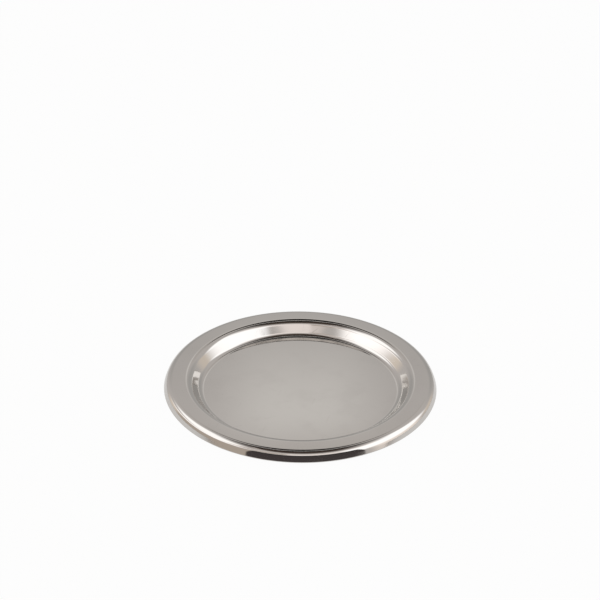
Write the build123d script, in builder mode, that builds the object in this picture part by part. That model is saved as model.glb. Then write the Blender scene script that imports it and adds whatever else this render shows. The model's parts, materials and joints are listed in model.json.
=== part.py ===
from build123d import *
import os
from math import cos, radians, sin, tan

# Round coin tray, pressed from one disc of polished stainless steel sheet: a flat coin floor, a steep wall,
# a flat rim, and a short skirt turned down at the rim's edge. The skirt stops above the table, which leaves
# the gap that fingers need to lift the tray. Millimetres, +Z up. The origin is the centre of the underside
# of the floor, which the tray stands on. Diameters, drops and bends are those of the face that shows.

os.makedirs("parts", exist_ok=True)

# Driving dimensions
overall_diameter = 140.0  # across the foot of the skirt, the widest place
rim_width = 11.6  # from the corner at the mouth of the well to the corner above the skirt
well_depth = 6.7  # from the top of the rim down to the coin floor
skirt_drop = 4.7  # from the top of the rim down to the foot of the skirt
sheet = 0.6  # thickness of the steel

# Slopes from the horizontal
wall_slope = radians(53.1)
skirt_slope = radians(69)

# Bends, as the radius of the face that shows
floor_bend = 4.0  # hollow bend from the coin floor up into the wall
mouth_bend = 4.8  # rounded bend from the wall out into the rim
rim_bend = 4.2  # rounded bend from the rim down into the skirt

# The cut edge is tumbled until both of its corners are round
edge_round = 0.27

# Radii and levels of the corners before they are bent round
floor_top = sheet
rim_top = floor_top + well_depth
skirt_foot = rim_top - skirt_drop
edge_trim = edge_round * (cos(skirt_slope) + sin(skirt_slope) - 1)
skirt_edge = overall_diameter / 2 + edge_trim
rim_edge = skirt_edge - skirt_drop / tan(skirt_slope)
mouth = rim_edge - rim_width
floor_edge = mouth - well_depth / tan(wall_slope)

# A bend ends before the cut edge begins to round
skirt_length = skirt_drop / sin(skirt_slope)
longest_bend = (skirt_length - 2 * sheet) / tan(skirt_slope / 2)

with BuildPart() as pressed_tray:
    with BuildSketch(Plane.XZ) as section:
        with BuildLine():
            FilletPolyline(
                (0, floor_top),
                (floor_edge, floor_top),
                (mouth, rim_top),
                (rim_edge, rim_top),
                (skirt_edge, skirt_foot),
                radius=[floor_bend, mouth_bend, min(rim_bend, longest_bend)],
            )
            offset(amount=sheet, side=Side.RIGHT)
        make_face()
        cut_corners = section.vertices().sort_by_distance((skirt_edge, skirt_foot))[:2]
        fillet(cut_corners, radius=edge_round)
    revolve(axis=Axis.Z)
pressed_tray.part.label = "pressed_tray"
export_step(pressed_tray.part, "parts/pressed_tray.step")
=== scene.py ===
import json
from math import cos, pi, radians, sin, tan

import bmesh
import bpy
from bpy.props import FloatProperty, FloatVectorProperty, IntProperty, PointerProperty
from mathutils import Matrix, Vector


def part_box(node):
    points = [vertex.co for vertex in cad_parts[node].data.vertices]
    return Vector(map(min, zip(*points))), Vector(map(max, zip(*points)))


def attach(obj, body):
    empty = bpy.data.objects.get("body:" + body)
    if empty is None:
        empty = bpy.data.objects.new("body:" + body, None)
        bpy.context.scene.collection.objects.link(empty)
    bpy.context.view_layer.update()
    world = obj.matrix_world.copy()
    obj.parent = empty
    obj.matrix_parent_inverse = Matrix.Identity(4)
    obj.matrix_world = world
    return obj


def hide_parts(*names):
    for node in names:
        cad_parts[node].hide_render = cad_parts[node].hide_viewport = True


# Round coin tray pressed from one sheet of polished stainless steel, dressed over its CAD frame and stood
# on a pale floor inside a light tent. Metres, +Z up, with the camera's side of the tray at -Y.

bl_info = {
    "name": "Coin Tray",
    "version": (1, 0, 0),
    "blender": (4, 5, 0),
    "location": "3D View > Sidebar > Coin Tray",
    "description": "Presses and polishes a round steel coin tray and sets it in a light tent",
    "category": "Add Mesh",
}

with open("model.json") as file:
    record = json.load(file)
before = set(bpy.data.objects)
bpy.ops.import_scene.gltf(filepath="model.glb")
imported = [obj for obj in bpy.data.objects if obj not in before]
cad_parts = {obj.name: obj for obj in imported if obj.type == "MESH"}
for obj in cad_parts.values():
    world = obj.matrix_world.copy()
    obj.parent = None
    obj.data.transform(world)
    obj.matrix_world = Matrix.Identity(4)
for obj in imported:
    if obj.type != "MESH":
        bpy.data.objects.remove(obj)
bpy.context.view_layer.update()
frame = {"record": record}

# The piece, the node that it stands for, and what the frame says of it
PIECE = "polished_tray"
NODE = "pressed_tray"
BODY = "root"
TRAY_LOW, TRAY_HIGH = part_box(NODE)
MOUNTS = {mount["name"]: mount for mount in frame["record"]["mounts"]}
COIN_FLOOR_LEVEL = MOUNTS["coin_floor"]["pos_m"][2]

MM = 0.001

# Points of the tray nearer than this are one point
DOUBLES = 0.002 * MM

# Facets round the tent and the floor, and rings from pole to pole of the tent
STAGE_FACETS = 96
TENT_RINGS = 48

# Marks of handling: the noise at which a smudge begins and is full, and how much rougher it is
SMUDGE_LENGTH = 18 * MM
SMUDGE_BEGINS = 0.45
SMUDGE_FULL = 0.7
SMUDGE_ROUGHNESS = 0.03

# Hairline scratches: their directions in degrees, and their depth as a share of a polishing line's
HAIRLINE_ANGLES = (17, 71, 128)
HAIRLINE_SPACING = 0.5 * MM
HAIRLINE_LENGTH = 16 * MM
HAIRLINE_THRESHOLD = 0.8
HAIRLINE_SHARPNESS = 20.0
HAIRLINE_ROUGHNESS = 0.1
HAIRLINE_DEPTH = 0.5

# The satin underside's polishing lines, as multiples of those on the face that shows
SATIN_SPACING = 1.5
SATIN_DEPTH = 3

# Where the painted glow on the middle of the floor begins to fade and ends, as shares of its radius. It is a
# painted pool of light that only reflections show
GLOW_FADE = (0.4, 1.6)

SENSOR_WIDTH = 36.0
CLIP_START = 0.01
CLIP_END = 10.0


def length_property(name, description, default):
    """A size in metres that the sidebar shows with its unit."""
    return FloatProperty(
        name=name, description=description, default=default, min=0.0, unit="LENGTH", subtype="DISTANCE",
        precision=5,
    )


def angle_property(name, description, degrees):
    """An angle, given here in degrees and kept in radians."""
    return FloatProperty(
        name=name, description=description, default=radians(degrees), unit="ROTATION", subtype="ANGLE"
    )


def colour_property(name, description, default):
    """A colour without alpha. Lamps may be brighter than white."""
    return FloatVectorProperty(
        name=name, description=description, default=default, size=3, min=0.0, soft_max=2.0, subtype="COLOR"
    )


class TraySizes(bpy.types.PropertyGroup):
    """Sizes of the pressed sheet. Diameters, drops and bends are those of the face that shows."""

    overall_diameter: length_property(
        "Overall Diameter", "Across the foot of the skirt, the widest place", TRAY_HIGH.x - TRAY_LOW.x
    )
    rim_level: length_property("Rim Level", "Top of the rim above the table", TRAY_HIGH.z)
    sheet: length_property("Sheet", "Thickness of the steel", COIN_FLOOR_LEVEL)
    rim_width: length_property(
        "Rim Width", "From the corner at the mouth of the well to the corner above the skirt", 11.6 * MM
    )
    skirt_drop: length_property(
        "Skirt Drop", "From the top of the rim down to the foot of the skirt", 4.7 * MM
    )
    wall_slope: angle_property("Wall Slope", "Slope of the well's wall from the horizontal", 53.1)
    skirt_slope: angle_property("Skirt Slope", "Slope of the skirt from the horizontal", 69)
    floor_bend: length_property(
        "Floor Bend", "Radius of the hollow bend from the floor into the wall", 4.0 * MM
    )
    mouth_bend: length_property("Mouth Bend", "Radius of the bend from the wall into the rim", 4.8 * MM)
    rim_bend: length_property("Rim Bend", "Radius of the bend from the rim into the skirt", 4.2 * MM)
    edge_round: length_property("Edge Round", "Radius of both corners of the cut edge", 0.27 * MM)
    crease: length_property(
        "Crease", "Width of the band beside each bend that keeps the flats flat", 0.15 * MM
    )
    bend_facets: IntProperty(name="Bend Facets", description="Facets round each bend", default=24, min=4)
    edge_facets: IntProperty(
        name="Edge Facets", description="Facets round each corner of the cut edge", default=6, min=2
    )
    spin_steps: IntProperty(
        name="Spin Steps", description="Facets round the whole tray", default=256, min=32
    )


class SteelFinish(bpy.types.PropertyGroup):
    """Colour and finish of the steel."""

    steel_colour: colour_property(
        "Steel Colour", "Reflected colour of the polished steel", (0.66, 0.64, 0.615)
    )
    smudge_colour: colour_property(
        "Smudge Colour", "Reflected colour where the steel was handled", (0.645, 0.625, 0.60)
    )
    polished_roughness: FloatProperty(
        name="Polished Roughness", description="Roughness of the face that shows", default=0.06, min=0.0,
        max=1.0,
    )
    satin_roughness: FloatProperty(
        name="Satin Roughness", description="Roughness of the underside", default=0.3, min=0.0, max=1.0
    )
    line_spacing: length_property(
        "Line Spacing", "Distance between the lines that polishing leaves", 0.35 * MM
    )
    line_depth: length_property("Line Depth", "Depth of the lines that polishing leaves", 0.0002 * MM)
    wave_length: length_property(
        "Wave Length", "Size of the soft waves that pressing leaves in the sheet", 22 * MM
    )
    wave_height: length_property(
        "Wave Height", "Height of the soft waves that pressing leaves", 0.006 * MM
    )


class StudioSettings(bpy.types.PropertyGroup):
    """The light tent, the floor and the camera."""

    tent_radius: length_property("Tent Radius", "Radius of the dome of cloth round the tray", 1.0)
    tent_tone: colour_property("Tent Tone", "Colour of the bare cloth of the tent", (0.62, 0.59, 0.575))
    floor_tone: colour_property(
        "Floor Tone", "Colour of the table that the tray stands on", (0.62, 0.60, 0.58)
    )
    floor_glow: FloatProperty(
        name="Floor Glow", description="Share of plain white in the floor as the camera sees it",
        default=0.97, min=0.0, max=1.0,
    )
    # Painted glow: white emission on the floor near the tray that only polished metal sees, a painted pool of
    # light
    floor_painted_glow: FloatProperty(
        name="Floor Glint",
        description="Share of plain white in the floor near the tray as polished metal sees it",
        default=0.65, min=0.0, max=1.0,
    )
    # Radius at which the painted glow, the painted pool of light on the floor near the tray, has half faded
    glow_radius: length_property(
        "Lit Radius", "Distance from the tray's axis at which the lit part of the floor has half faded", 0.22
    )
    camera_distance: length_property("Camera Distance", "From the centre of the rim", 0.9)
    camera_elevation: angle_property("Camera Elevation", "Above the horizon", 32.357)
    camera_roll: angle_property("Camera Roll", "Turn about the line of sight", 0.749)
    aim_height: length_property(
        "Aim Height", "Height above the table of the point that the camera looks at", 0.05264
    )
    aim_side: FloatProperty(
        name="Aim Side", description="How far to the right of the tray's axis that point is",
        default=-0.00072, unit="LENGTH", subtype="DISTANCE", precision=5,
    )
    lens: FloatProperty(
        name="Lens", description="Focal length in millimetres", default=105.05, min=1.0, unit="CAMERA"
    )


def deselect_all():
    """Operators act on whatever is selected, so each piece starts with nothing selected."""
    if bpy.context.mode != "OBJECT":
        bpy.ops.object.mode_set(mode="OBJECT")
    bpy.ops.object.select_all(action="DESELECT")


def run(result):
    """Stops the script where an operator was cancelled."""
    if "FINISHED" not in result:
        raise RuntimeError("an operator was cancelled")


# Profile of the pressed sheet, as stations of radius, height and heading


def straight(stations, length):
    """Goes on in the same heading."""
    radius, height, heading = stations[-1]
    stations.append((radius + length * cos(heading), height + length * sin(heading), heading))


def flat(stations, length, crease):
    """Goes straight on, with a narrow band at each end that keeps a bend's shading out of it."""
    straight(stations, crease)
    straight(stations, length - 2 * crease)
    straight(stations, crease)


def bend(stations, bend_radius, turn, facets):
    """Goes round an arc, to the left where the turn is positive."""
    side = 1 if turn > 0 else -1
    radius, height, heading = stations[-1]
    centre_radius = radius - side * bend_radius * sin(heading)
    centre_height = height + side * bend_radius * cos(heading)
    for step in range(1, facets + 1):
        angle = heading + turn * step / facets
        radius = centre_radius + side * bend_radius * sin(angle)
        height = centre_height - side * bend_radius * cos(angle)
        stations.append((radius, height, angle))


def tray_profile(sizes):
    """From the centre of the coin floor over the rim, round the cut edge and back along the underside."""
    wall, skirt = sizes.wall_slope, sizes.skirt_slope
    well_depth = sizes.rim_level - sizes.sheet
    edge_trim = sizes.edge_round * (cos(skirt) + sin(skirt) - 1)
    rim_edge = sizes.overall_diameter / 2 + edge_trim - sizes.skirt_drop / tan(skirt)
    mouth = rim_edge - sizes.rim_width
    floor_edge = mouth - well_depth / tan(wall)
    floor_tangent = sizes.floor_bend * tan(wall / 2)
    mouth_tangent = sizes.mouth_bend * tan(wall / 2)
    rim_tangent = sizes.rim_bend * tan(skirt / 2)

    face = [(0.0, sizes.sheet, 0.0)]
    straight(face, floor_edge - floor_tangent - sizes.crease)
    straight(face, sizes.crease)
    bend(face, sizes.floor_bend, wall, sizes.bend_facets)
    flat(face, well_depth / sin(wall) - floor_tangent - mouth_tangent, sizes.crease)
    bend(face, sizes.mouth_bend, -wall, sizes.bend_facets)
    flat(face, sizes.rim_width - mouth_tangent - rim_tangent, sizes.crease)
    bend(face, sizes.rim_bend, -skirt, sizes.bend_facets)
    flat(face, sizes.skirt_drop / sin(skirt) - rim_tangent - sizes.edge_round, sizes.crease)

    edge = [face[-1]]
    bend(edge, sizes.edge_round, -pi / 2, sizes.edge_facets)
    straight(edge, sizes.sheet - 2 * sizes.edge_round)
    bend(edge, sizes.edge_round, -pi / 2, sizes.edge_facets)

    underside = [
        (radius + sizes.sheet * sin(heading), height - sizes.sheet * cos(heading), heading)
        for radius, height, heading in face
    ]
    return face + edge[1:] + underside[-2::-1]


def select_faces(piece, wanted):
    """Selects in edit mode the faces for which wanted is true."""
    mesh = bmesh.from_edit_mesh(piece.data)
    for face in mesh.faces:
        face.select_set(wanted(face))
    mesh.select_flush_mode()
    bmesh.update_edit_mesh(piece.data)


def spin_tray(sizes):
    """Draws the profile edge by edge, spins it about the tray's axis and closes it at both centres."""
    stations = tray_profile(sizes)
    deselect_all()
    run(bpy.ops.mesh.primitive_plane_add(size=sizes.sheet, location=(0, 0, 0)))
    piece = bpy.context.object
    piece.name = piece.data.name = PIECE
    run(bpy.ops.object.mode_set(mode="EDIT"))
    bpy.context.tool_settings.mesh_select_mode = (True, False, False)
    run(bpy.ops.mesh.select_all(action="SELECT"))
    run(bpy.ops.mesh.merge(type="CENTER"))
    run(bpy.ops.transform.translate(value=(stations[0][0], 0, stations[0][1])))
    for (from_radius, from_height, _), (to_radius, to_height, _) in zip(stations, stations[1:]):
        step = (to_radius - from_radius, 0, to_height - from_height)
        run(bpy.ops.mesh.extrude_vertices_move(TRANSFORM_OT_translate={"value": step}))
    run(bpy.ops.mesh.select_all(action="SELECT"))
    run(bpy.ops.mesh.spin(steps=sizes.spin_steps, angle=2 * pi, center=(0, 0, 0), axis=(0, 0, 1)))
    run(bpy.ops.mesh.select_all(action="SELECT"))
    run(bpy.ops.mesh.remove_doubles(threshold=DOUBLES))
    run(bpy.ops.mesh.normals_make_consistent(inside=False))
    return piece


# Shader building


def add_node(tree, kind, place, **values):
    """Adds a node. A value whose name is a socket's sets that socket, and any other sets the node."""
    node = tree.nodes.new(kind)
    node.location = place
    for name, value in values.items():
        if name in node.inputs:
            node.inputs[name].default_value = value
        else:
            setattr(node, name, value)
    return node


def new_group(name, inputs, outputs):
    """A shader node group with named sockets. Returns it with its inner input and output nodes."""
    group = bpy.data.node_groups.new(name, "ShaderNodeTree")
    for label, kind, default in inputs:
        socket = group.interface.new_socket(label, in_out="INPUT", socket_type=kind)
        if default is not None:
            socket.default_value = default
    for label, kind in outputs:
        group.interface.new_socket(label, in_out="OUTPUT", socket_type=kind)
    entry = group.nodes.new("NodeGroupInput")
    entry.location = (-900, 0)
    leave = group.nodes.new("NodeGroupOutput")
    leave.location = (700, 0)
    return group, entry, leave


def place_group(tree, group, place, **values):
    """Places a node group in a material with its own values."""
    node = tree.nodes.new("ShaderNodeGroup")
    node.node_tree = group
    node.location = place
    for name, value in values.items():
        node.inputs[name.replace("_", " ").title()].default_value = value
    return node


def calculate(tree, operation, place, first, second=None, third=None, clamp=False):
    """A Math node whose inputs are sockets or numbers. Returns its result."""
    node = add_node(tree, "ShaderNodeMath", place, operation=operation, use_clamp=clamp)
    for index, value in enumerate((first, second, third)):
        if isinstance(value, bpy.types.NodeSocket):
            tree.links.new(value, node.inputs[index])
        elif value is not None:
            node.inputs[index].default_value = value
    return node.outputs[0]


def smooth_ramp(tree, place, value, start, end, low=0.0, high=1.0):
    """Goes smoothly from low to high while a socket's value goes from start to end. Returns its result."""
    node = add_node(tree, "ShaderNodeMapRange", place, interpolation_type="SMOOTHSTEP")
    for label, number in (("From Min", start), ("From Max", end), ("To Min", low), ("To Max", high)):
        node.inputs[label].default_value = number
    tree.links.new(value, node.inputs["Value"])
    return node.outputs[0]


def mix_colours(tree, place, factor, first, second):
    """A colour Mix node. The colours are sockets or plain colours. Returns its result."""
    node = add_node(tree, "ShaderNodeMix", place, data_type="RGBA")
    tree.links.new(factor, node.inputs[0])
    for index, colour in ((6, first), (7, second)):
        if isinstance(colour, bpy.types.NodeSocket):
            tree.links.new(colour, node.inputs[index])
        else:
            node.inputs[index].default_value = (*colour, 1.0)
    return node.outputs[2]


def polishing_lines_group():
    """Fine lines round the tray, one in each spacing, as a buffing wheel leaves them on a turning blank."""
    group, entry, leave = new_group(
        "Polishing Lines",
        [("Vector", "NodeSocketVector", None), ("Spacing", "NodeSocketFloat", 0.0005)],
        [("Height", "NodeSocketFloat")],
    )
    links = group.links
    parts = add_node(group, "ShaderNodeSeparateXYZ", (-700, 0))
    links.new(entry.outputs["Vector"], parts.inputs[0])
    across = add_node(group, "ShaderNodeCombineXYZ", (-700, -200))
    links.new(parts.outputs["X"], across.inputs["X"])
    links.new(parts.outputs["Y"], across.inputs["Y"])
    radius = add_node(group, "ShaderNodeVectorMath", (-500, -200), operation="LENGTH")
    links.new(across.outputs[0], radius.inputs[0])
    heading = add_node(group, "ShaderNodeVectorMath", (-500, -400), operation="NORMALIZE")
    links.new(across.outputs[0], heading.inputs[0])
    turn = add_node(group, "ShaderNodeSeparateXYZ", (-300, -400))
    links.new(heading.outputs[0], turn.inputs[0])
    way = calculate(group, "ADD", (-300, 0), radius.outputs["Value"], parts.outputs["Z"])
    line = calculate(group, "DIVIDE", (-100, 0), way, entry.outputs["Spacing"])
    place = add_node(group, "ShaderNodeCombineXYZ", (100, -100))
    links.new(line, place.inputs["X"])
    links.new(turn.outputs["X"], place.inputs["Y"])
    links.new(turn.outputs["Y"], place.inputs["Z"])
    noise = add_node(group, "ShaderNodeTexNoise", (300, 0), Scale=1.0, Detail=3.0, Roughness=0.7)
    links.new(place.outputs[0], noise.inputs["Vector"])
    links.new(noise.outputs[0], leave.inputs["Height"])
    return group


def soft_waves_group():
    """Slow uneven swells of a given length, between 0 and 1."""
    group, entry, leave = new_group(
        "Soft Waves",
        [
            ("Vector", "NodeSocketVector", None),
            ("Length", "NodeSocketFloat", 0.02),
            ("Detail", "NodeSocketFloat", 1.0),
        ],
        [("Height", "NodeSocketFloat")],
    )
    scaled = add_node(group, "ShaderNodeVectorMath", (-300, 0), operation="SCALE")
    group.links.new(entry.outputs["Vector"], scaled.inputs[0])
    scale = calculate(group, "DIVIDE", (-500, -200), 1.0, entry.outputs["Length"])
    group.links.new(scale, scaled.inputs["Scale"])
    noise = add_node(group, "ShaderNodeTexNoise", (0, 0), Scale=1.0, Roughness=0.5)
    group.links.new(scaled.outputs[0], noise.inputs["Vector"])
    group.links.new(entry.outputs["Detail"], noise.inputs["Detail"])
    group.links.new(noise.outputs[0], leave.inputs["Height"])
    return group


def hairlines_group():
    """Sparse straight hairline scratches from use, as a mask that is 1 in a scratch."""
    group, entry, leave = new_group(
        "Hairlines",
        [
            ("Vector", "NodeSocketVector", None),
            ("Spacing", "NodeSocketFloat", 0.0006),
            ("Length", "NodeSocketFloat", 0.02),
            ("Threshold", "NodeSocketFloat", 0.7),
        ],
        [("Mask", "NodeSocketFloat")],
    )
    links = group.links
    thin = calculate(group, "DIVIDE", (-700, -200), 1.0, entry.outputs["Spacing"])
    long = calculate(group, "DIVIDE", (-700, -400), 1.0, entry.outputs["Length"])
    scale = add_node(group, "ShaderNodeCombineXYZ", (-500, -300))
    links.new(thin, scale.inputs["X"])
    links.new(long, scale.inputs["Y"])
    links.new(long, scale.inputs["Z"])
    masks = []
    for row, angle in enumerate(HAIRLINE_ANGLES):
        level = -250 * row
        turned = add_node(group, "ShaderNodeVectorRotate", (-300, level), rotation_type="Z_AXIS")
        turned.inputs["Angle"].default_value = radians(angle)
        links.new(entry.outputs["Vector"], turned.inputs["Vector"])
        stretched = add_node(group, "ShaderNodeVectorMath", (-100, level), operation="MULTIPLY")
        links.new(turned.outputs[0], stretched.inputs[0])
        links.new(scale.outputs[0], stretched.inputs[1])
        noise = add_node(group, "ShaderNodeTexNoise", (100, level), Scale=1.0, Detail=0.0)
        links.new(stretched.outputs[0], noise.inputs["Vector"])
        over = calculate(group, "SUBTRACT", (300, level), noise.outputs[0], entry.outputs["Threshold"])
        masks.append(calculate(group, "MULTIPLY", (450, level), over, HAIRLINE_SHARPNESS, clamp=True))
    both = calculate(group, "MAXIMUM", (550, -100), masks[0], masks[1])
    links.new(calculate(group, "MAXIMUM", (600, -200), both, masks[2]), leave.inputs["Mask"])
    return group


def steel_material(name, groups, finish, roughness, spacing, line_depth):
    """Stainless steel with polishing lines, soft waves from the press, hairlines and marks of handling."""
    material = bpy.data.materials.new(name)
    material.use_nodes = True
    tree = material.node_tree
    links = tree.links
    steel = tree.nodes["Principled BSDF"]
    steel.inputs["Metallic"].default_value = 1.0
    place = add_node(tree, "ShaderNodeTexCoord", (-1400, 0))
    lines = place_group(tree, groups["lines"], (-1100, 300), spacing=spacing)
    waves = place_group(tree, groups["waves"], (-1100, 100), length=finish.wave_length, detail=0.0)
    smudges = place_group(tree, groups["waves"], (-1100, -100), length=SMUDGE_LENGTH, detail=4.0)
    hairs = place_group(
        tree, groups["hairlines"], (-1100, -300), spacing=HAIRLINE_SPACING, length=HAIRLINE_LENGTH,
        threshold=HAIRLINE_THRESHOLD,
    )
    for node in (lines, waves, smudges, hairs):
        links.new(place.outputs["Object"], node.inputs["Vector"])
    scratched = hairs.outputs["Mask"]
    handled = smooth_ramp(tree, (-800, -100), smudges.outputs["Height"], SMUDGE_BEGINS, SMUDGE_FULL)

    colour = mix_colours(tree, (-500, 200), handled, finish.steel_colour, finish.smudge_colour)
    links.new(colour, steel.inputs["Base Color"])

    rough = calculate(tree, "MULTIPLY_ADD", (-500, 0), handled, SMUDGE_ROUGHNESS, roughness)
    dulled = calculate(tree, "MULTIPLY", (-500, -150), scratched, HAIRLINE_ROUGHNESS)
    links.new(calculate(tree, "ADD", (-300, 0), rough, dulled), steel.inputs["Roughness"])

    grooves = calculate(tree, "MULTIPLY", (-800, 300), lines.outputs["Height"], line_depth)
    swell = calculate(tree, "MULTIPLY", (-800, 500), waves.outputs["Height"], finish.wave_height)
    cut = calculate(tree, "MULTIPLY", (-800, -400), scratched, -HAIRLINE_DEPTH * line_depth)
    surface = calculate(tree, "ADD", (-600, 300), grooves, swell)
    height = calculate(tree, "ADD", (-600, 400), surface, cut)
    bump = add_node(tree, "ShaderNodeBump", (-300, -300), Strength=1.0, Distance=1.0)
    links.new(height, bump.inputs["Height"])
    links.new(bump.outputs[0], steel.inputs["Normal"])
    return material


class COINTRAY_OT_press_tray(bpy.types.Operator):
    """Press the tray from one sheet of steel and polish it"""

    bl_idname = "cointray.press_tray"
    bl_label = "Press Tray"
    bl_options = {"REGISTER", "UNDO"}

    def execute(self, context):
        sizes = context.scene.coin_tray_sizes
        finish = context.scene.coin_tray_finish
        groups = {
            "lines": polishing_lines_group(),
            "waves": soft_waves_group(),
            "hairlines": hairlines_group(),
        }
        piece = spin_tray(sizes)
        skirt_foot = sizes.rim_level - sizes.skirt_drop
        cut_edge = sizes.overall_diameter / 2 - sizes.sheet

        def is_underside(face):
            centre = face.calc_center_median()
            on_edge = centre.xy.length > cut_edge and centre.z < skirt_foot + sizes.sheet
            return face.normal.z < 0 and not on_edge

        polished = steel_material(
            "polished_steel", groups, finish, finish.polished_roughness, finish.line_spacing,
            finish.line_depth,
        )
        satin = steel_material(
            "satin_steel", groups, finish, finish.satin_roughness, SATIN_SPACING * finish.line_spacing,
            SATIN_DEPTH * finish.line_depth,
        )
        piece.data.materials.append(polished)
        piece.data.materials.append(satin)
        bpy.context.tool_settings.mesh_select_mode = (False, False, True)
        select_faces(piece, is_underside)
        piece.active_material_index = 1
        run(bpy.ops.object.material_slot_assign())
        run(bpy.ops.object.mode_set(mode="OBJECT"))
        run(bpy.ops.object.shade_smooth())
        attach(piece, BODY)
        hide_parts(NODE)
        return {"FINISHED"}


# Panels and lamps on the tent, as the tray sees them. Azimuth 0 is behind the tray, +90 to its right and
# 180 on the camera's side. In degrees: the middle azimuth, half the width, the lowest and highest elevation,
# and the softness of the upright and of the level edges. Then how many degrees the panel rises for each
# degree to the right, and its colour, where 1 is plain white. A later panel hangs in front of an earlier one.
PANELS = (
    ("low back wall", 5, 36, -9, 30, 27, 20, 0, (0.47, 0.46, 0.45)),
    ("back glow", 0, 5, 31, 45, 7, 9, 0, (0.78, 0.76, 0.74)),
    ("ceiling", 0, 181, 68, 94, 5, 14, 0, (0.08, 0.06, 0.05)),
    ("back ceiling", 2, 53, 60, 94, 30, 20, 0, (0.01, 0.01, 0.01)),
    ("front haze", 174, 95, 64, 66, 20, 2.5, 0.07, (0.90, 0.81, 0.76)),
    ("front cloth", 173, 81, 44, 57, 10, 1.5, 0, (1.12, 1.03, 1.00)),
    ("front fold", -145, 23, 44, 54, 8, 2.5, -0.06, (0.55, 0.48, 0.43)),
    ("left wall", -111, 47, -5, 33, 16, 12, -0.1, (0.55, 0.48, 0.42)),
    ("left fade", -60, 8, -3, 20, 14, 6, 0, (0.86, 0.77, 0.68)),
    ("left softbox", -80, 32, 32, 60, 18, 12, -0.05, (1.56, 1.55, 1.55)),
    ("left strip light", -96, 37, 28, 34, 22, 5, -0.34, (1.68, 1.64, 1.64)),
    ("left shade", -115, 29, 22, 29, 10, 4.5, -0.36, (0.56, 0.48, 0.43)),
    ("right fade", 58, 9, -3, 20, 14, 6, 0, (0.77, 0.69, 0.61)),
    ("right wall", 98, 24, -2, 26, 15, 12, 0.08, (1.13, 1.03, 0.96)),
    ("right softbox", 100, 38, 18, 55, 13, 15, 0, (1.60, 1.60, 1.62)),
    ("front opening", 175, 45, 2.5, 39, 1.5, 3, 0, (0.07, 0.06, 0.06)),
    ("front shadow", 175, 43, 32, 40, 1.5, 1.5, 0, (0.01, 0.01, 0.01)),
    ("back shade", 0, 24, 36, 62, 10, 4, -0.05, (0.56, 0.53, 0.51)),
    ("back arch", 0, 21, 50, 73, 3, 2, 0, (0.88, 0.83, 0.80)),
    ("back opening", 0, 16, 44, 69, 4, 2.5, 0, (0.01, 0.01, 0.01)),
)


def tent_panel_group():
    """A panel on the dome, in degrees, with soft edges: a mask that is 1 inside it."""
    labels = (
        "Azimuth", "Elevation", "Middle", "Half Width", "Lowest", "Highest", "Side Softness",
        "Level Softness", "Tilt",
    )
    group, entry, leave = new_group(
        "Tent Panel", [(label, "NodeSocketFloat", 0.0) for label in labels], [("Mask", "NodeSocketFloat")]
    )
    turn = calculate(group, "SUBTRACT", (-700, 200), entry.outputs["Azimuth"], entry.outputs["Middle"])
    turn = calculate(group, "WRAP", (-550, 200), turn, 180.0, -180.0)
    rise = calculate(group, "MULTIPLY", (-550, 0), turn, entry.outputs["Tilt"])
    level = calculate(group, "SUBTRACT", (-400, 0), entry.outputs["Elevation"], rise)
    turn = calculate(group, "ABSOLUTE", (-400, 200), turn)
    mask = None
    for row, (inner, outer, softness) in enumerate((
        (entry.outputs["Half Width"], turn, entry.outputs["Side Softness"]),
        (level, entry.outputs["Lowest"], entry.outputs["Level Softness"]),
        (entry.outputs["Highest"], level, entry.outputs["Level Softness"]),
    )):
        inside = calculate(group, "SUBTRACT", (-200, -200 * row), inner, outer)
        share = calculate(group, "DIVIDE", (-50, -200 * row), inside, softness)
        edge = smooth_ramp(group, (100, -200 * row), share, -0.5, 0.5)
        mask = edge if mask is None else calculate(group, "MULTIPLY", (300, -200 * row), mask, edge)
    group.links.new(mask, leave.inputs["Mask"])
    return group


def empty_material(name):
    """A material without nodes."""
    material = bpy.data.materials.new(name)
    material.use_nodes = True
    material.node_tree.nodes.clear()
    return material


def tent_material(settings):
    """Cloth that glows, with the panels hung in front of it one after another."""
    material = empty_material("tent_cloth")
    tree = material.node_tree
    links = tree.links
    place = add_node(tree, "ShaderNodeTexCoord", (-1600, 0))
    way = add_node(tree, "ShaderNodeVectorMath", (-1450, 0), operation="NORMALIZE")
    links.new(place.outputs["Object"], way.inputs[0])
    parts = add_node(tree, "ShaderNodeSeparateXYZ", (-1300, 0))
    links.new(way.outputs[0], parts.inputs[0])
    azimuth = calculate(tree, "ARCTAN2", (-1150, 100), parts.outputs["X"], parts.outputs["Y"])
    azimuth = calculate(tree, "DEGREES", (-1000, 100), azimuth)
    elevation = calculate(tree, "ARCSINE", (-1150, -100), parts.outputs["Z"])
    elevation = calculate(tree, "DEGREES", (-1000, -100), elevation)
    group = tent_panel_group()
    colour = settings.tent_tone
    for column, (label, middle, half_width, lowest, highest, side, level, tilt, tone) in enumerate(PANELS):
        panel = place_group(
            tree, group, (250 * column - 800, 200), middle=middle, half_width=half_width, lowest=lowest,
            highest=highest, side_softness=side, level_softness=level, tilt=tilt,
        )
        panel.label = label
        links.new(azimuth, panel.inputs["Azimuth"])
        links.new(elevation, panel.inputs["Elevation"])
        colour = mix_colours(tree, (250 * column - 650, -100), panel.outputs["Mask"], colour, tone)
    glow = add_node(tree, "ShaderNodeEmission", (250 * len(PANELS) - 600, 0))
    links.new(colour, glow.inputs["Color"])
    leave = add_node(tree, "ShaderNodeOutputMaterial", (250 * len(PANELS) - 400, 0))
    links.new(glow.outputs[0], leave.inputs["Surface"])
    material.cycles.emission_sampling = "NONE"
    return material


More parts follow.
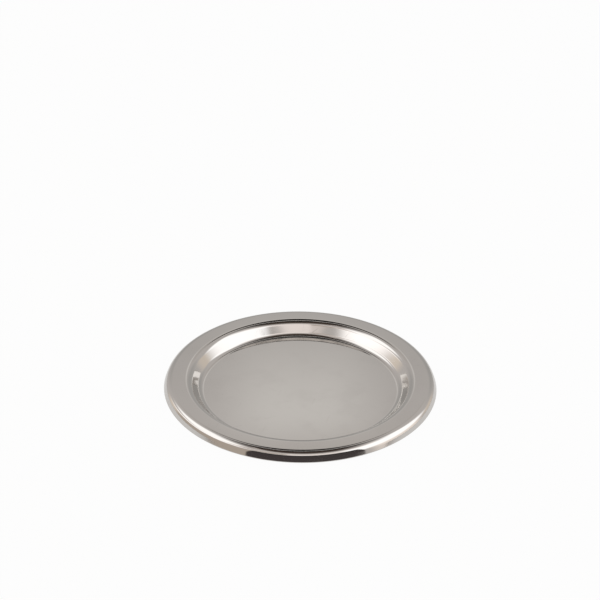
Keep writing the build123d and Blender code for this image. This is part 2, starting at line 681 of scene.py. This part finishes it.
def floor_material(settings):
    """A pale table that keeps the tray's shadow and looks nearly white to the camera; near the tray a painted
    glow, a painted pool of light, makes it nearly white to polished metal.
    """
    material = empty_material("pale_floor")
    tree = material.node_tree
    links = tree.links
    ray = add_node(tree, "ShaderNodeLightPath", (-700, 300))
    mirrored = calculate(
        tree, "MAXIMUM", (-500, 200), ray.outputs["Is Glossy Ray"], ray.outputs["Is Transmission Ray"]
    )
    place = add_node(tree, "ShaderNodeTexCoord", (-1000, 0))
    distance = add_node(tree, "ShaderNodeVectorMath", (-850, 0), operation="LENGTH")
    links.new(place.outputs["Object"], distance.inputs[0])
    # Painted pool of light: near the tray the floor glows white to glossy and transmission rays, and the glow
    # fades outward
    fade_begins, fade_ends = (part * settings.glow_radius for part in GLOW_FADE)
    painted_glow_share = smooth_ramp(
        tree, (-700, 0), distance.outputs["Value"], fade_begins, fade_ends, settings.floor_painted_glow, 0.0
    )
    mirrored = calculate(tree, "MULTIPLY", (-350, 200), mirrored, painted_glow_share)
    seen = calculate(tree, "MULTIPLY", (-350, 400), ray.outputs["Is Camera Ray"], settings.floor_glow)
    share = calculate(tree, "MAXIMUM", (-200, 300), seen, mirrored)
    matte = add_node(tree, "ShaderNodeBsdfDiffuse", (-200, 0))
    matte.inputs["Color"].default_value = (*settings.floor_tone, 1.0)
    glow = add_node(tree, "ShaderNodeEmission", (-200, -150))
    mix = add_node(tree, "ShaderNodeMixShader", (0, 0))
    links.new(share, mix.inputs[0])
    links.new(matte.outputs[0], mix.inputs[1])
    links.new(glow.outputs[0], mix.inputs[2])
    leave = add_node(tree, "ShaderNodeOutputMaterial", (200, 0))
    links.new(mix.outputs[0], leave.inputs["Surface"])
    return material


def set_world(scene):
    """Plain white beyond the floor. Only the camera sees it, because the tent is round everything else."""
    world = bpy.data.worlds.new("white_surround")
    scene.world = world
    world.use_nodes = True
    background = world.node_tree.nodes["Background"]
    background.inputs["Color"].default_value = (1, 1, 1, 1)
    background.inputs["Strength"].default_value = 1.0


def add_tent(settings):
    """A dome of cloth round the tray, from the floor up."""
    deselect_all()
    run(
        bpy.ops.mesh.primitive_uv_sphere_add(
            segments=STAGE_FACETS, ring_count=TENT_RINGS, radius=settings.tent_radius
        )
    )
    tent = bpy.context.object
    tent.name = tent.data.name = "light_tent"
    run(bpy.ops.object.mode_set(mode="EDIT"))
    run(bpy.ops.mesh.select_all(action="SELECT"))
    run(bpy.ops.mesh.bisect(plane_co=(0, 0, -MM), plane_no=(0, 0, 1), clear_inner=True))
    run(bpy.ops.object.mode_set(mode="OBJECT"))
    run(bpy.ops.object.shade_smooth())
    tent.data.materials.append(tent_material(settings))
    tent.visible_camera = False


def add_floor(settings):
    """A round table top under the tray."""
    deselect_all()
    run(
        bpy.ops.mesh.primitive_circle_add(
            vertices=STAGE_FACETS, radius=settings.tent_radius, fill_type="NGON"
        )
    )
    floor = bpy.context.object
    floor.name = floor.data.name = "pale_floor"
    floor.data.materials.append(floor_material(settings))


def add_camera(scene, settings, rim_level):
    """Looks down at the tray from the front."""
    distance, elevation = settings.camera_distance, settings.camera_elevation
    camera = bpy.data.objects.new("camera", bpy.data.cameras.new("camera"))
    scene.collection.objects.link(camera)
    camera.location = (0, -distance * cos(elevation), rim_level + distance * sin(elevation))
    look = Vector((settings.aim_side, 0, settings.aim_height)) - camera.location
    camera.rotation_euler = look.to_track_quat("-Z", "Y").to_euler()
    camera.rotation_euler.rotate_axis("Z", settings.camera_roll)
    camera.data.lens = settings.lens
    camera.data.sensor_width = SENSOR_WIDTH
    camera.data.clip_start = CLIP_START
    camera.data.clip_end = CLIP_END
    scene.camera = camera


class COINTRAY_OT_set_stage(bpy.types.Operator):
    """Stand the tray on a pale floor in the light tent, in front of the camera"""

    bl_idname = "cointray.set_stage"
    bl_label = "Set Stage"
    bl_options = {"REGISTER", "UNDO"}

    def execute(self, context):
        scene = context.scene
        settings = scene.coin_tray_studio
        add_floor(settings)
        add_tent(settings)
        set_world(scene)
        add_camera(scene, settings, scene.coin_tray_sizes.rim_level)
        scene.view_settings.view_transform = "Standard"
        return {"FINISHED"}


class VIEW3D_PT_coin_tray(bpy.types.Panel):
    """Lists the steps that make the tray, and their sizes and colours"""

    bl_label = "Coin Tray"
    bl_space_type = "VIEW_3D"
    bl_region_type = "UI"
    bl_category = "Coin Tray"

    def draw(self, context):
        scene = context.scene
        for operator, group in (
            (COINTRAY_OT_press_tray, scene.coin_tray_sizes),
            (None, scene.coin_tray_finish),
            (COINTRAY_OT_set_stage, scene.coin_tray_studio),
        ):
            column = self.layout.column()
            if operator is not None:
                column.operator(operator.bl_idname)
            for name in group.__annotations__:
                column.prop(group, name)


PROPERTY_GROUPS = {
    "coin_tray_sizes": TraySizes,
    "coin_tray_finish": SteelFinish,
    "coin_tray_studio": StudioSettings,
}
CLASSES = (*PROPERTY_GROUPS.values(), COINTRAY_OT_press_tray, COINTRAY_OT_set_stage, VIEW3D_PT_coin_tray)


def register():
    for cls in CLASSES:
        bpy.utils.register_class(cls)
    for name, group in PROPERTY_GROUPS.items():
        setattr(bpy.types.Scene, name, PointerProperty(type=group))


def unregister():
    for name in PROPERTY_GROUPS:
        delattr(bpy.types.Scene, name)
    for cls in reversed(CLASSES):
        bpy.utils.unregister_class(cls)


def main():
    register()
    run(bpy.ops.cointray.press_tray())
    run(bpy.ops.cointray.set_stage())


if __name__ == "__main__":
    main()
